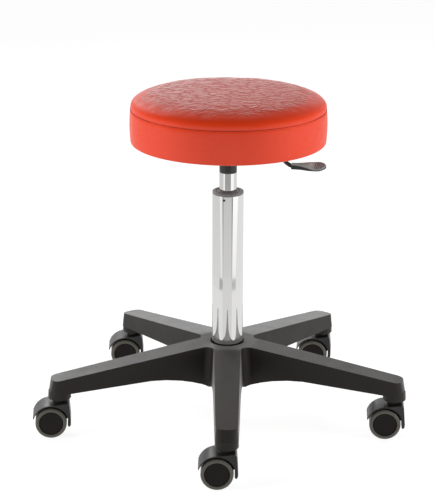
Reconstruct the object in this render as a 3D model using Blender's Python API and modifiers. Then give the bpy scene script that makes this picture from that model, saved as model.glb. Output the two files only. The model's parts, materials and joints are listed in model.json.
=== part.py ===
"""Dentist stool: a round upholstered seat on a gas lift, over a five-arm star base with twin-wheel castors.

Units are metres. The model is drawn about the column's axis, with the floor at zero, +Z up and the front arm
along -Y, and is then moved so that the origin is the middle of its footprint.
"""
import math

import bmesh
import bpy
from mathutils import Matrix, Vector

# ---------------------------------------------------------------- driving dimensions
GAP = 0.0003                # clearance between pieces that touch
FIT = 0.0001                # radial clearance of a shaft in its hole
ARM_COUNT = 5
ARM_STEP = math.tau / ARM_COUNT
FRONT_ARM = -math.pi / 2    # direction of the first arm

CASTOR_CIRCLE = 0.2810      # radius of the circle that the castor stems stand on
BOSS_BOTTOM = 0.0612        # height of the arm tip's underside
BOSS_RADIUS = 0.0185
ARM_HALF_WIDTH = 0.0257     # arm's half width at its reference height, carried back to the axis
ARM_TAPER = 0.0268          # half width lost per metre of arm
ARM_DRAFT = 0.055           # half width lost per metre of height
ARM_REFERENCE_Z = 0.075
TIP_DRAFT = 0.2             # how far the arm's end face leans back
ARM_FILLET = 0.012          # radius between two arms
HUB_TOP = 0.1282
HUB_BOTTOM = 0.0595
HUB_FLAT = 0.0480           # radius where the arms' slope meets the flat hub
ARM_SLOPE = 0.1397
ARCH_PEAK_R = 0.135         # the underside arch: its highest point, its rise and its outer slope
ARCH_PEAK_Z = 0.0800
ARCH_RISE = 0.0200
ARCH_POWER = 2.1
ARCH_OUTER_SLOPE = 0.060
ARM_WALL = 0.0045
ARM_PLANE = 0.0440          # radius where the hub's flat top starts to round over
POCKETS = ((0.0660, 0.1200), (0.1245, 0.1820), (0.1865, 0.2520))    # hollows between the ribs
TIP_CORNER_LOW = 0.0175     # plan radius of the arm tip's corners, below and above
TIP_CORNER_HIGH = 0.0050
BOSS_HEIGHT = 0.0135
BOSS_EDGE = 0.0014          # rounding of the boss's lower edge
STEM_HOLE_DEPTH = 0.0273
COUNTERBORE_RADIUS = 0.0278     # shadow ring round the column
COUNTERBORE_DEPTH = 0.0080
COLUMN_SHELF = 0.0035       # ledge that the column's foot stands on

COLUMN_RADIUS = 0.0250
COLUMN_WALL = 0.0015
COLUMN_BOTTOM = 0.0631
COLUMN_FOOT = 0.0030        # thickness of the column's closed foot
COLUMN_TOP = 0.3775
COLLAR_TOP = 0.3815
COLLAR_EDGE = 0.0012
BUSH_BOTTOM = 0.3100
SNAP_HOLE_RADIUS = 0.0017
SNAP_HOLE_ANGLE = math.radians(-104.0)
SNAP_HOLE_Z = 0.3713
CYLINDER_RADIUS = 0.0140
CYLINDER_WALL = 0.0015
CYLINDER_BOTTOM = 0.1120
CYLINDER_CRIMP = 0.0012     # lip that holds the gland in the cylinder
SLEEVE_BOTTOM = 0.4122
SLEEVE_TOP = 0.4240
TAPER_RADIUS = 0.0128       # the cylinder's top end, inside the sleeve
TAPER_WALL = 0.0015
TAPER_LID = 0.0030
CYLINDER_TOP = 0.4440
RELEASE_TOP = 0.4487        # top of the pin that the lever presses
RELEASE_RADIUS = 0.0037
VALVE_BORE = 0.0040
VALVE_LENGTH = 0.0170
GLAND_HEIGHT = 0.0100
ROD_RADIUS = 0.0050
ROD_NECK = 0.0040           # the rod's turned-down ends
ROD_BOTTOM = 0.0603
ROD_TOP = 0.2630
PISTON_BOTTOM = 0.2470
PISTON_TOP = 0.2610
BEARING_RADIUS = 0.0140
BEARING_HEIGHT = 0.0060
BUMP_STOP_RADIUS = 0.0110
BUMP_STOP_TOP = 0.0830
CLIP_RADIUS = 0.0090
CLIP_BOTTOM = 0.0611

WHEEL_RADIUS = 0.0250
TREAD_INNER = 0.0194
WHEEL_TRAIL = 0.0143        # from the stem's axis to the axle
HOOD_RADIUS = 0.0300
HOOD_CLEARANCE = 0.0035     # between the tyre and the inside of the hood
HOOD_TOP = 0.0328           # above the axle, at the stem
HOOD_CORNER = 0.0040
HOOD_TAIL = 163.0           # degrees round from the stem's side to the hood's trailing tip
NECK_RADIUS = 0.0115
NECK_TOP = 0.0592           # top of the hood's stem housing
CASTOR_HALF_WIDTH = 0.0225
HOOD_HALF_WIDTH = 0.0215
WEB_HALF_WIDTH = 0.0070
WEB_GAP = 0.0008            # between the web and each wheel
WEB_HUB = 0.0110            # radius of the web round the axle
WHEEL_DISC = 0.7            # share of the wheel's width that the axle's bore reaches
WHEEL_EDGE = 0.0014
TREAD_EDGE = 0.0030
STEM_RADIUS = 0.0055
STEM_SPIGOT = 0.0040        # the stem's lower end, in the hood's socket
STEM_FLANGE = 0.0075
STEM_TOP = 0.0875
STEM_BOTTOM = 0.0360
AXLE_RADIUS = 0.0040

SEAT_RADIUS = 0.1555
SEAM_RADIUS = 0.1543
SEAT_BOTTOM = 0.4620
SEAM_Z = 0.5153
SEAT_TOP = 0.5425
COVER_THICKNESS = 0.0015
FOAM_GAP = 0.0012
LIP_RADIUS = 0.1250         # where the cover's turned-in lip ends under the board
BOARD_RADIUS = 0.1465
BOARD_THICKNESS = 0.0120
BOARD_EDGE = 0.0020
RIM_POWER = 3.2             # how square the top edge of the cushion is
BOTTOM_CORNER = 0.0030

PLATE_HALF = 0.0750
PLATE_TOP = 0.4635
PLATE_THICKNESS = 0.0030
PLATE_CORNER = 0.0120
SOCKET_TOP_RADIUS = 0.0250  # outside of the taper socket, under the plate and at its mouth
SOCKET_MOUTH_RADIUS = 0.0170
BOLT_OFFSET = 0.0600
BOLT_RADIUS = 0.0030
BOLT_HEAD_RADIUS = 0.0055
BOLT_END = 0.4710
LEVER_DIRECTION = math.radians(-14.0)
LEVER_Z = 0.4530
LEVER_RADIUS = 0.0033
LEVER_PIVOT = 0.0340        # from the column's axis to the lever's pivot pin
PIVOT_RADIUS = 0.0025
PIVOT_HALF_LENGTH = 0.0105
BARREL_RADIUS = 0.0055
BARREL_HALF_LENGTH = 0.0050
EAR_THICKNESS = 0.0025
SLOT_HALF_WIDTH = 0.0048
GRIP_Z = 0.4284
GRIP_SLOPE = 0.045
GRIP_START = 0.1025
GRIP_END = 0.1575
GRIP_CORE_END = 0.1260      # where the rod stops inside the grip
GRIP_NECK = 0.0058          # half width at the neck
GRIP_BROAD = 0.0140         # half width at the broad end
GRIP_THICK = 0.0049         # half thickness over the rod, then at the broad end and at the tip
GRIP_THIN = 0.0030
GRIP_TIP = 0.0019
GRIP_TILT = math.radians(15.0)      # turn of the broad end, its near edge down

# The castors swivel freely, so each stands at its own small angle (degrees).
CASTOR_TURNS = {"front": 0.0, "right": -3.0, "rear_right": -4.0, "rear_left": 2.5, "left": 4.5}

# ---------------------------------------------------------------- finishes: colour, roughness, metallic
FINISHES = {
    "nylon": ((0.040, 0.039, 0.038), 0.55, 0.0),
    "hood": ((0.022, 0.022, 0.022), 0.40, 0.0),
    "wheel": ((0.030, 0.028, 0.027), 0.50, 0.0),
    "tread": ((0.120, 0.115, 0.110), 0.60, 0.0),
    "chrome": ((0.80, 0.80, 0.80), 0.08, 1.0),
    "steel": ((0.45, 0.45, 0.46), 0.30, 1.0),
    "painted": ((0.020, 0.020, 0.020), 0.45, 0.0),
    "collar": ((0.100, 0.098, 0.096), 0.45, 0.0),
    "rubber": ((0.015, 0.015, 0.015), 0.80, 0.0),
    "bronze": ((0.45, 0.30, 0.12), 0.40, 1.0),
    "grip": ((0.070, 0.072, 0.074), 0.50, 0.0),
    "plywood": ((0.50, 0.34, 0.19), 0.65, 0.0),
    "foam": ((0.80, 0.74, 0.55), 0.90, 0.0),
    "leatherette": ((0.75, 0.10, 0.045), 0.40, 0.0),
}


# ---------------------------------------------------------------- helpers
def start_empty():
    for old in list(bpy.data.objects):
        bpy.data.objects.remove(old, do_unlink=True)


def new_collection(name):
    collection = bpy.data.collections.new(name)
    bpy.context.scene.collection.children.link(collection)
    return collection


def new_material(name):
    colour, roughness, metallic = FINISHES[name]
    material = bpy.data.materials.new(name)
    material.use_nodes = True
    material.diffuse_color = (*colour, 1.0)
    shader = material.node_tree.nodes["Principled BSDF"]
    shader.inputs["Base Color"].default_value = (*colour, 1.0)
    shader.inputs["Roughness"].default_value = roughness
    shader.inputs["Metallic"].default_value = metallic
    return material


def mesh_object(name, bm, collection):
    mesh = bpy.data.meshes.new(name)
    bm.to_mesh(mesh)
    bm.free()
    obj = bpy.data.objects.new(name, mesh)
    collection.objects.link(obj)
    return obj


def bake(obj):
    """Turn an object's modifiers into its own clean mesh."""
    bpy.context.view_layer.update()
    graph = bpy.context.evaluated_depsgraph_get()
    mesh = bpy.data.meshes.new_from_object(obj.evaluated_get(graph))
    bm = bmesh.new()
    bm.from_mesh(mesh)
    bmesh.ops.remove_doubles(bm, verts=bm.verts, dist=0.00001)
    bmesh.ops.dissolve_degenerate(bm, edges=bm.edges, dist=0.00001)
    bmesh.ops.recalc_face_normals(bm, faces=bm.faces)
    bm.to_mesh(mesh)
    bm.free()
    obj.modifiers.clear()
    obj.data = mesh
    return obj


def turned(name, profile, steps, collection, on_axis=False):
    """A turned solid: a closed (radius, height) profile spun about Z."""
    bm = bmesh.new()
    verts = [bm.verts.new((r, 0.0, z)) for r, z in profile]
    for first, second in zip(verts, verts[1:]):
        bm.edges.new((first, second))
    if not on_axis:
        bm.edges.new((verts[-1], verts[0]))
    obj = mesh_object(name, bm, collection)
    screw = obj.modifiers.new("spin", "SCREW")
    screw.steps = steps
    screw.render_steps = steps
    screw.use_merge_vertices = True
    screw.merge_threshold = 0.00001
    return bake(obj)


def ring_profile(inner, outer, low, high, chamfer=0.0):
    """Section of a plain ring, with its outer corners chamfered."""
    points = [(inner, high), (outer - chamfer, high)]
    if chamfer:
        points += [(outer, high - chamfer), (outer, low + chamfer)]
    else:
        points += [(outer, high)]
    return points + [(outer - chamfer, low), (inner, low)]


def rod_profile(*stations):
    """Section of a solid turned rod through (radius, height) stations, top to bottom."""
    return [(0.0, stations[0][1]), *stations, (0.0, stations[-1][1])]


def boolean(target, cutter, operation, collection):
    modifier = target.modifiers.new(operation.lower(), "BOOLEAN")
    modifier.operation = operation
    modifier.object = cutter
    modifier.solver = "EXACT"
    if cutter.name not in collection.objects:
        collection.objects.link(cutter)
    cutter.hide_render = True
    cutter.display_type = "WIRE"


def cylinder(name, radius, start, end, collection, segments=16, end_radius=None):
    """A closed cylinder or cone between two points."""
    start, end = Vector(start), Vector(end)
    axis = end - start
    bm = bmesh.new()
    bmesh.ops.create_cone(
        bm, cap_ends=True, segments=segments, radius1=radius,
        radius2=radius if end_radius is None else end_radius, depth=axis.length)
    turn = axis.to_track_quat("Z", "Y").to_matrix().to_4x4()
    bm.transform(Matrix.Translation((start + end) / 2) @ turn)
    return mesh_object(name, bm, collection)


def block(name, low, high, collection):
    """An axis-aligned box between two corners."""
    low, high = Vector(low), Vector(high)
    bm = bmesh.new()
    bmesh.ops.create_cube(bm, size=1.0)
    for vert in bm.verts:
        vert.co = Vector(low[i] + (vert.co[i] + 0.5) * (high[i] - low[i]) for i in range(3))
    return mesh_object(name, bm, collection)


def extruded(name, outline, half_width, collection):
    """A flat (x, z) outline given a thickness along Y."""
    bm = bmesh.new()
    face = bm.faces.new([bm.verts.new((x, -half_width, z)) for x, z in outline])
    swept = bmesh.ops.extrude_face_region(bm, geom=[face])["geom"]
    moved = [item for item in swept if isinstance(item, bmesh.types.BMVert)]
    bmesh.ops.translate(bm, verts=moved, vec=(0.0, 2.0 * half_width, 0.0))
    bmesh.ops.recalc_face_normals(bm, faces=bm.faces)
    return mesh_object(name, bm, collection)


def arc(centre, radius, start, end, count):
    """Points along an arc, angles in degrees."""
    steps = [math.radians(start + (end - start) * i / count) for i in range(count + 1)]
    return [(centre[0] + radius * math.cos(a), centre[1] + radius * math.sin(a)) for a in steps]


def finish(obj, material, angle=35.0):
    """Give a piece its material and smooth its round faces."""
    obj.data.materials.clear()
    obj.data.materials.append(material)
    obj.data.shade_smooth()
    obj.data.set_sharp_from_angle(angle=math.radians(angle))
    return obj


def copy_of(obj, name, collection):
    """Another piece that shares a piece's mesh."""
    twin = bpy.data.objects.new(name, obj.data)
    collection.objects.link(twin)
    return twin


# ---------------------------------------------------------------- star base
def side_half_width(z):
    """Arm half width at height z, carried back to the axis."""
    return ARM_HALF_WIDTH - ARM_DRAFT * (z - ARM_REFERENCE_Z)


def arm_top(radius):
    return HUB_TOP - ARM_SLOPE * max(0.0, radius - HUB_FLAT)


def arm_underside(radius):
    if radius > ARCH_PEAK_R:
        return ARCH_PEAK_Z - ARCH_OUTER_SLOPE * (radius - ARCH_PEAK_R)
    inward = (ARCH_PEAK_R - radius) / (ARCH_PEAK_R - COLUMN_RADIUS - 0.01)
    return ARCH_PEAK_Z - ARCH_RISE * inward ** ARCH_POWER


def star_outline(z, corner, tip_points=4, fillet_points=3):
    """Plan outline of the whole star at one height; corner rounds the arm tips."""
    side = side_half_width(z)
    lean = math.atan(ARM_TAPER)
    half_step = ARM_STEP / 2
    valley_way = Vector((math.cos(half_step), math.sin(half_step)))
    centre = valley_way * (side * math.cos(lean) + ARM_FILLET) / math.sin(half_step + lean)
    end = CASTOR_CIRCLE + BOSS_RADIUS - TIP_DRAFT * (z - BOSS_BOTTOM)
    corner_x = end - corner
    corner_y = side - ARM_TAPER * corner_x - corner
    upper = []
    for i in range(fillet_points + 1):
        angle = math.pi + half_step + (math.pi / 2 - half_step - lean) * i / fillet_points
        upper.append(centre + ARM_FILLET * Vector((math.cos(angle), math.sin(angle))))
    for i in range(tip_points + 1):
        angle = (math.pi / 2 - lean) * (1.0 - i / tip_points)
        upper.append(Vector((corner_x, corner_y)) + corner * Vector((math.cos(angle), math.sin(angle))))
    lower = [Vector((point.x, -point.y)) for point in upper]
    outline = []
    for arm in range(ARM_COUNT):
        turn = Matrix.Rotation(FRONT_ARM + arm * ARM_STEP, 2)
        outline += [turn @ point for point in lower + upper[:0:-1]]
    return outline


def star_prism(collection):
    """The star in plan, lofted from a round-tipped outline below to a square-tipped one above."""
    low, high = HUB_BOTTOM - 0.01, HUB_TOP + 0.01
    bm = bmesh.new()
    rings = []
    for z, corner in ((low, TIP_CORNER_LOW), (high, TIP_CORNER_HIGH)):
        rings.append([bm.verts.new((*point, z)) for point in star_outline(z, corner)])
    count = len(rings[0])
    for i in range(count):
        j = (i + 1) % count
        bm.faces.new((rings[0][i], rings[0][j], rings[1][j], rings[1][i]))
    bm.faces.new(rings[1])
    bm.faces.new(reversed(rings[0]))
    bmesh.ops.recalc_face_normals(bm, faces=bm.faces)
    return mesh_object("star_base", bm, collection)


def arm_slab(cutters):
    """Five-sided slab: sloping flat tops above, the arch below, one flat side to each arm."""
    reach = CASTOR_CIRCLE + 2 * BOSS_RADIUS
    flat_to_corner = 1.0 / math.cos(ARM_STEP / 2)
    top = [(0.0, HUB_TOP), (ARM_PLANE, HUB_TOP), (HUB_FLAT, HUB_TOP - 0.0004)]
    top += [(r, arm_top(r)) for r in (0.056, reach)]
    below = [reach, 0.200, 0.160, 0.135, 0.110, 0.085, 0.066, 0.050, COLUMN_RADIUS + 0.01]
    under = [(r, arm_underside(r)) for r in below] + [(0.0, arm_underside(below[-1]))]
    profile = [(r * flat_to_corner, z) for r, z in top + under]
    slab = turned("arm_slab", profile, ARM_COUNT, cutters, on_axis=True)
    slab.rotation_euler.z = FRONT_ARM + ARM_STEP / 2
    return slab


def arm_pocket(direction, start, end, cutters):
    """One hollow between two ribs, under an arm."""
    bm = bmesh.new()
    bmesh.ops.create_cube(bm, size=2.0)
    for vert in bm.verts:
        radius = end if vert.co.x > 0 else start
        z = arm_top(radius) - ARM_WALL if vert.co.z > 0 else HUB_BOTTOM - 0.01
        half = side_half_width(z) - ARM_TAPER * radius - ARM_WALL
        vert.co = Vector((radius, math.copysign(half, vert.co.y), z))
    bm.transform(Matrix.Rotation(direction, 4, "Z"))
    return mesh_object("arm_pocket", bm, cutters)


def make_star_base(parts, cutters):
    base = star_prism(parts)
    boolean(base, arm_slab(cutters), "INTERSECT", cutters)
    for arm in range(ARM_COUNT):
        direction = FRONT_ARM + arm * ARM_STEP
        way = Vector((math.cos(direction), math.sin(direction), 0.0))
        foot = way * CASTOR_CIRCLE + Vector((0, 0, BOSS_BOTTOM))
        boss = turned(
            "boss",
            rod_profile((BOSS_RADIUS - 0.0008, BOSS_HEIGHT), (BOSS_RADIUS, BOSS_EDGE),
                        (BOSS_RADIUS - 0.3 * BOSS_EDGE, 0.3 * BOSS_EDGE), (BOSS_RADIUS - BOSS_EDGE, 0.0)),
            20, cutters, on_axis=True)
        boss.location = foot
        boolean(base, boss, "UNION", cutters)
        for start, end in POCKETS:
            boolean(base, arm_pocket(direction, start, end, cutters), "DIFFERENCE", cutters)
        hole = cylinder("stem_hole", STEM_RADIUS + GAP, foot - Vector((0, 0, 0.005)),
                        foot + Vector((0, 0, STEM_HOLE_DEPTH)), cutters, 16)
        boolean(base, hole, "DIFFERENCE", cutters)
    bore = COLUMN_RADIUS + GAP
    seat = COLUMN_BOTTOM - GAP
    step = HUB_TOP - COUNTERBORE_DEPTH
    stations = [(COUNTERBORE_RADIUS + 0.0016, HUB_TOP + 0.001), (COUNTERBORE_RADIUS, HUB_TOP - 0.0006),
                (COUNTERBORE_RADIUS, step), (bore, step), (bore, seat),
                (bore - COLUMN_SHELF, seat), (bore - COLUMN_SHELF, HUB_BOTTOM - 0.01)]
    bore_cutter = turned("column_bore", rod_profile(*stations), 40, cutters, on_axis=True)
    boolean(base, bore_cutter, "DIFFERENCE", cutters)
    return bake(base)


# ---------------------------------------------------------------- column and gas lift
def make_outer_column(parts, cutters):
    """Chromed tube with a closed foot and the small hole that the guide bush snaps into."""
    inner = COLUMN_RADIUS - COLUMN_WALL
    neck_hole = ROD_NECK + FIT
    foot_top = COLUMN_BOTTOM + COLUMN_FOOT
    profile = [(inner, COLUMN_TOP), (COLUMN_RADIUS, COLUMN_TOP), (COLUMN_RADIUS, COLUMN_BOTTOM),
               (neck_hole, COLUMN_BOTTOM), (neck_hole, foot_top), (inner, foot_top)]
    column = turned("outer_column", profile, 48, parts)
    way = Vector((math.cos(SNAP_HOLE_ANGLE), math.sin(SNAP_HOLE_ANGLE), 0.0))
    middle = way * COLUMN_RADIUS + Vector((0, 0, SNAP_HOLE_Z))
    hole = cylinder("snap_hole", SNAP_HOLE_RADIUS, middle - way * 0.004, middle + way * 0.004, cutters, 12)
    boolean(column, hole, "DIFFERENCE", cutters)
    return bake(column)


def make_gas_lift(parts):
    """Every turned piece of the lift, from the clip under the column to the release pin."""
    inner = COLUMN_RADIUS - COLUMN_WALL
    tube_inner = CYLINDER_RADIUS - CYLINDER_WALL
    taper_inner = TAPER_RADIUS - TAPER_WALL
    crimp = tube_inner - 0.0008
    crimp_top = CYLINDER_BOTTOM + CYLINDER_CRIMP
    gland_bottom = crimp_top + GAP
    foot_top = COLUMN_BOTTOM + COLUMN_FOOT
    bearing_top = foot_top + GAP + BEARING_HEIGHT
    collar_low = COLUMN_TOP + GAP
    pieces = {}
    pieces["column_collar"] = turned(
        "column_collar",
        ring_profile(CYLINDER_RADIUS + GAP, COLUMN_RADIUS, collar_low, COLLAR_TOP, COLLAR_EDGE), 40, parts)
    pieces["guide_bush"] = turned(
        "guide_bush",
        ring_profile(CYLINDER_RADIUS + FIT, inner - GAP, BUSH_BOTTOM, COLUMN_TOP - GAP), 32, parts)
    pieces["gas_cylinder"] = turned(
        "gas_cylinder",
        [(VALVE_BORE, CYLINDER_TOP), (TAPER_RADIUS, CYLINDER_TOP), (TAPER_RADIUS, SLEEVE_BOTTOM - GAP),
         (CYLINDER_RADIUS, SLEEVE_BOTTOM - GAP), (CYLINDER_RADIUS, CYLINDER_BOTTOM), (crimp, CYLINDER_BOTTOM),
         (crimp, crimp_top), (tube_inner, crimp_top), (tube_inner, SLEEVE_BOTTOM - 0.005),
         (taper_inner, SLEEVE_BOTTOM - 0.003), (taper_inner, CYLINDER_TOP - TAPER_LID),
         (VALVE_BORE, CYLINDER_TOP - TAPER_LID)], 32, parts)
    pieces["taper_sleeve"] = turned(
        "taper_sleeve",
        ring_profile(TAPER_RADIUS + GAP, CYLINDER_RADIUS, SLEEVE_BOTTOM, SLEEVE_TOP), 32, parts)
    pieces["rod_gland"] = turned(
        "rod_gland",
        ring_profile(ROD_RADIUS + FIT, tube_inner - GAP, gland_bottom, gland_bottom + GLAND_HEIGHT),
        24, parts)
    valve_bottom = SLEEVE_BOTTOM - 0.001
    pieces["valve_block"] = turned(
        "valve_block",
        ring_profile(VALVE_BORE, taper_inner - GAP, valve_bottom, valve_bottom + VALVE_LENGTH), 24, parts)
    pieces["release_pin"] = turned(
        "release_pin",
        rod_profile((RELEASE_RADIUS - 0.0005, RELEASE_TOP), (RELEASE_RADIUS, RELEASE_TOP - 0.0006),
                    (RELEASE_RADIUS, SLEEVE_BOTTOM + 0.003)), 16, parts, on_axis=True)
    pieces["piston_rod"] = turned(
        "piston_rod",
        rod_profile((ROD_NECK, ROD_TOP), (ROD_NECK, PISTON_BOTTOM - GAP), (ROD_RADIUS, PISTON_BOTTOM - GAP),
                    (ROD_RADIUS, bearing_top + GAP), (ROD_NECK, bearing_top + GAP), (ROD_NECK, ROD_BOTTOM)),
        20, parts, on_axis=True)
    pieces["piston"] = turned(
        "piston", ring_profile(ROD_NECK + GAP, tube_inner - GAP, PISTON_BOTTOM, PISTON_TOP), 24, parts)
    pieces["thrust_bearing"] = turned(
        "thrust_bearing",
        ring_profile(ROD_NECK + FIT, BEARING_RADIUS, foot_top + GAP, bearing_top), 24, parts)
    pieces["bump_stop"] = turned(
        "bump_stop",
        ring_profile(ROD_RADIUS + GAP, BUMP_STOP_RADIUS, bearing_top + GAP, BUMP_STOP_TOP), 20, parts)
    pieces["rod_clip"] = turned(
        "rod_clip", ring_profile(ROD_NECK + GAP, CLIP_RADIUS, CLIP_BOTTOM, COLUMN_BOTTOM - GAP), 20, parts)
    return pieces


# ---------------------------------------------------------------- castors
def hood_outline():
    """Side of the hood in (x, z) from the axle: round over the wheels, a flared fin on the stem's side."""
    inner = WHEEL_RADIUS + HOOD_CLEARANCE
    fin = [(0.0266, 0.0045), (0.0264, -0.0035), (0.0276, -0.0062), (0.0300, -0.0058), (0.0314, -0.0030),
           (0.0317, 0.0015)]
    corner_z = HOOD_TOP - HOOD_CORNER
    corner = arc((0.0255, corner_z), HOOD_CORNER, 0, 90, 3)
    over = arc((0.0, 0.0), HOOD_RADIUS, 85, HOOD_TAIL, 9)
    under = arc((0.0, 0.0), inner, HOOD_TAIL + 1, 17, 13)
    return fin + corner + over + under


def web_outline():
    """The narrow web between the wheels: round the axle, up to the stem housing."""
    edge, top = 0.0285, 0.0275
    return [(edge, top), (-0.0060, top), *arc((0, 0), WEB_HUB, 135, 300, 7), (edge, 0.0040)]


def make_hood(cutters, parts):
    """Hood, web and stem housing in one piece, its origin on the stem's axis."""
    hood = extruded("hood", hood_outline(), HOOD_HALF_WIDTH, parts)
    web = extruded("web", web_outline(), WEB_HALF_WIDTH, cutters)
    neck = cylinder("neck", NECK_RADIUS, (WHEEL_TRAIL, 0, 0.0270),
                    (WHEEL_TRAIL, 0, NECK_TOP - WHEEL_RADIUS), cutters, 20)
    boolean(hood, web, "UNION", cutters)
    boolean(hood, neck, "UNION", cutters)
    stem_hole = cylinder("stem_socket", STEM_SPIGOT + FIT, (WHEEL_TRAIL, 0, 0.0100),
                         (WHEEL_TRAIL, 0, 0.0400), cutters, 16)
    axle_hole = cylinder("axle_hole", AXLE_RADIUS + GAP, (0, -0.02, 0), (0, 0.02, 0), cutters, 16)
    boolean(hood, stem_hole, "DIFFERENCE", cutters)
    boolean(hood, axle_hole, "DIFFERENCE", cutters)
    bake(hood)
    hood.data.transform(Matrix.Translation((-WHEEL_TRAIL, 0, WHEEL_RADIUS)))
    return hood


def make_castor_meshes(parts, cutters):
    """One castor's pieces, each with its origin on its own joint axis."""
    inner_face = WEB_HALF_WIDTH + WEB_GAP
    width = CASTOR_HALF_WIDTH - inner_face
    rim = TREAD_INNER - GAP
    bore = AXLE_RADIUS + FIT
    bore_end = inner_face + width * WHEEL_DISC
    wheel = turned(
        "wheel",
        [(0.0, CASTOR_HALF_WIDTH - 0.0006), (rim - 0.0008, CASTOR_HALF_WIDTH - 0.0006),
         (rim, CASTOR_HALF_WIDTH - WHEEL_EDGE), (rim, inner_face), (bore, inner_face), (bore, bore_end),
         (0.0, bore_end)], 20, parts, on_axis=True)
    tread = turned(
        "tread",
        [(TREAD_INNER, CASTOR_HALF_WIDTH), (WHEEL_RADIUS - 0.0018, CASTOR_HALF_WIDTH - 0.0002),
         (WHEEL_RADIUS, CASTOR_HALF_WIDTH - TREAD_EDGE), (WHEEL_RADIUS, inner_face),
         (TREAD_INNER, inner_face)], 24, parts)
    stem = turned(
        "stem",
        rod_profile((STEM_RADIUS - 0.001, STEM_TOP), (STEM_RADIUS, STEM_TOP - 0.001),
                    (STEM_RADIUS, BOSS_BOTTOM - GAP), (STEM_FLANGE, BOSS_BOTTOM - GAP),
                    (STEM_FLANGE, NECK_TOP + GAP), (STEM_SPIGOT, NECK_TOP + GAP),
                    (STEM_SPIGOT, STEM_BOTTOM)), 16, parts, on_axis=True)
    half_axle = inner_face + width * 0.65
    axle = cylinder("axle", AXLE_RADIUS, (0, -half_axle, 0), (0, half_axle, 0), parts, 16)
    for piece in (wheel, tread):
        piece.data.transform(Matrix.Rotation(math.pi / 2, 4, "X"))
    return {"hood": make_hood(cutters, parts), "wheel": wheel, "tread": tread, "stem": stem, "axle": axle}


def make_castor(name, index, turn_degrees, meshes, parts):
    """Place copies of the castor's pieces under one arm's tip."""
    direction = FRONT_ARM + index * ARM_STEP
    pivot = bpy.data.objects.new(f"castor_{name}_pivot", None)
    parts.objects.link(pivot)
    pivot.location = (CASTOR_CIRCLE * math.cos(direction), CASTOR_CIRCLE * math.sin(direction), 0.0)
    pivot.rotation_euler.z = math.radians(turn_degrees)
    axle_place = Vector((-WHEEL_TRAIL, 0.0, WHEEL_RADIUS))
    placed = {"stem": ("stem", Vector(), 0.0), "hood": ("hood", Vector(), 0.0),
              "axle": ("axle", axle_place, 0.0)}
    for side, turn in (("a", 0.0), ("b", math.pi)):
        placed[f"wheel_{side}"] = ("wheel", axle_place, turn)
        placed[f"tread_{side}"] = ("tread", axle_place, turn)
    for node, (source, place, turn) in placed.items():
        piece = copy_of(meshes[source], f"castor_{name}_{node}", parts)
        piece.parent = pivot
        piece.location = place
        piece.rotation_euler.z = turn


# ---------------------------------------------------------------- lever and seat mechanism
LEVER_WAY = Vector((math.cos(LEVER_DIRECTION), math.sin(LEVER_DIRECTION), 0.0))
LEVER_ACROSS = Vector((math.sin(LEVER_DIRECTION), -math.cos(LEVER_DIRECTION), 0.0))


def along_lever(distance, z, across=0.0):
    return LEVER_WAY * distance + LEVER_ACROSS * across + Vector((0, 0, z))


def grip_z(distance):
    """Height of the grip's axis: it rises a little towards its tip."""
    return GRIP_Z + GRIP_SLOPE * (distance - GRIP_START)


def lever_tube(name, radius, overrun, collection):
    """A round bar along the lever's bent route, from over the release pin to inside the grip."""
    curve = bpy.data.curves.new("lever_route", "CURVE")
    curve.dimensions = "3D"
    curve.bevel_depth = radius
    curve.bevel_resolution = 2
    curve.use_fill_caps = True
    stations = [(-0.0055, LEVER_Z), (0.034, LEVER_Z), (0.069, LEVER_Z), (0.077, LEVER_Z - 0.0022),
                (0.085, LEVER_Z - 0.0098), (0.092, LEVER_Z - 0.0178), (0.097, GRIP_Z + 0.0028),
                (0.102, GRIP_Z + 0.0006), (0.107, grip_z(0.107)),
                (GRIP_CORE_END + overrun, grip_z(GRIP_CORE_END))]
    spline = curve.splines.new("POLY")
    spline.points.add(len(stations) - 1)
    for point, (distance, z) in zip(spline.points, stations):
        point.co = (*along_lever(distance, z), 1.0)
    route = bpy.data.objects.new("lever_route", curve)
    collection.objects.link(route)
    bpy.context.view_layer.update()
    graph = bpy.context.evaluated_depsgraph_get()
    mesh = bpy.data.meshes.new_from_object(route.evaluated_get(graph))
    bm = bmesh.new()
    bm.from_mesh(mesh)
    bmesh.ops.remove_doubles(bm, verts=bm.verts, dist=0.00001)
    bmesh.ops.recalc_face_normals(bm, faces=bm.faces)
    bpy.data.objects.remove(route)
    return mesh_object(name, bm, collection)


def across_cylinder(name, radius, half_length, distance, z, collection, segments=16):
    return cylinder(name, radius, along_lever(distance, z, -half_length),
                    along_lever(distance, z, half_length), collection, segments)


def set_origin(obj, place):
    """Move an object's origin onto a point without moving the piece."""
    obj.data.transform(Matrix.Translation(-place))
    obj.location = place


def make_lever(parts, cutters):
    rod = lever_tube("lever_rod", LEVER_RADIUS, 0.0, parts)
    barrel = across_cylinder("lever_barrel", BARREL_RADIUS, BARREL_HALF_LENGTH, LEVER_PIVOT, LEVER_Z, cutters)
    pin_hole = across_cylinder("lever_pin_hole", PIVOT_RADIUS + FIT, 0.0100, LEVER_PIVOT, LEVER_Z, cutters)
    boolean(rod, barrel, "UNION", cutters)
    boolean(rod, pin_hole, "DIFFERENCE", cutters)
    bake(rod)
    grip = make_grip(parts, cutters)
    pivot = along_lever(LEVER_PIVOT, LEVER_Z)
    for piece in (rod, grip):
        set_origin(piece, pivot)
    pin = across_cylinder("lever_pivot_pin", PIVOT_RADIUS, PIVOT_HALF_LENGTH, LEVER_PIVOT, LEVER_Z, parts, 12)
    return {"lever_rod": rod, "lever_grip": grip, "lever_pivot_pin": pin}


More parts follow.
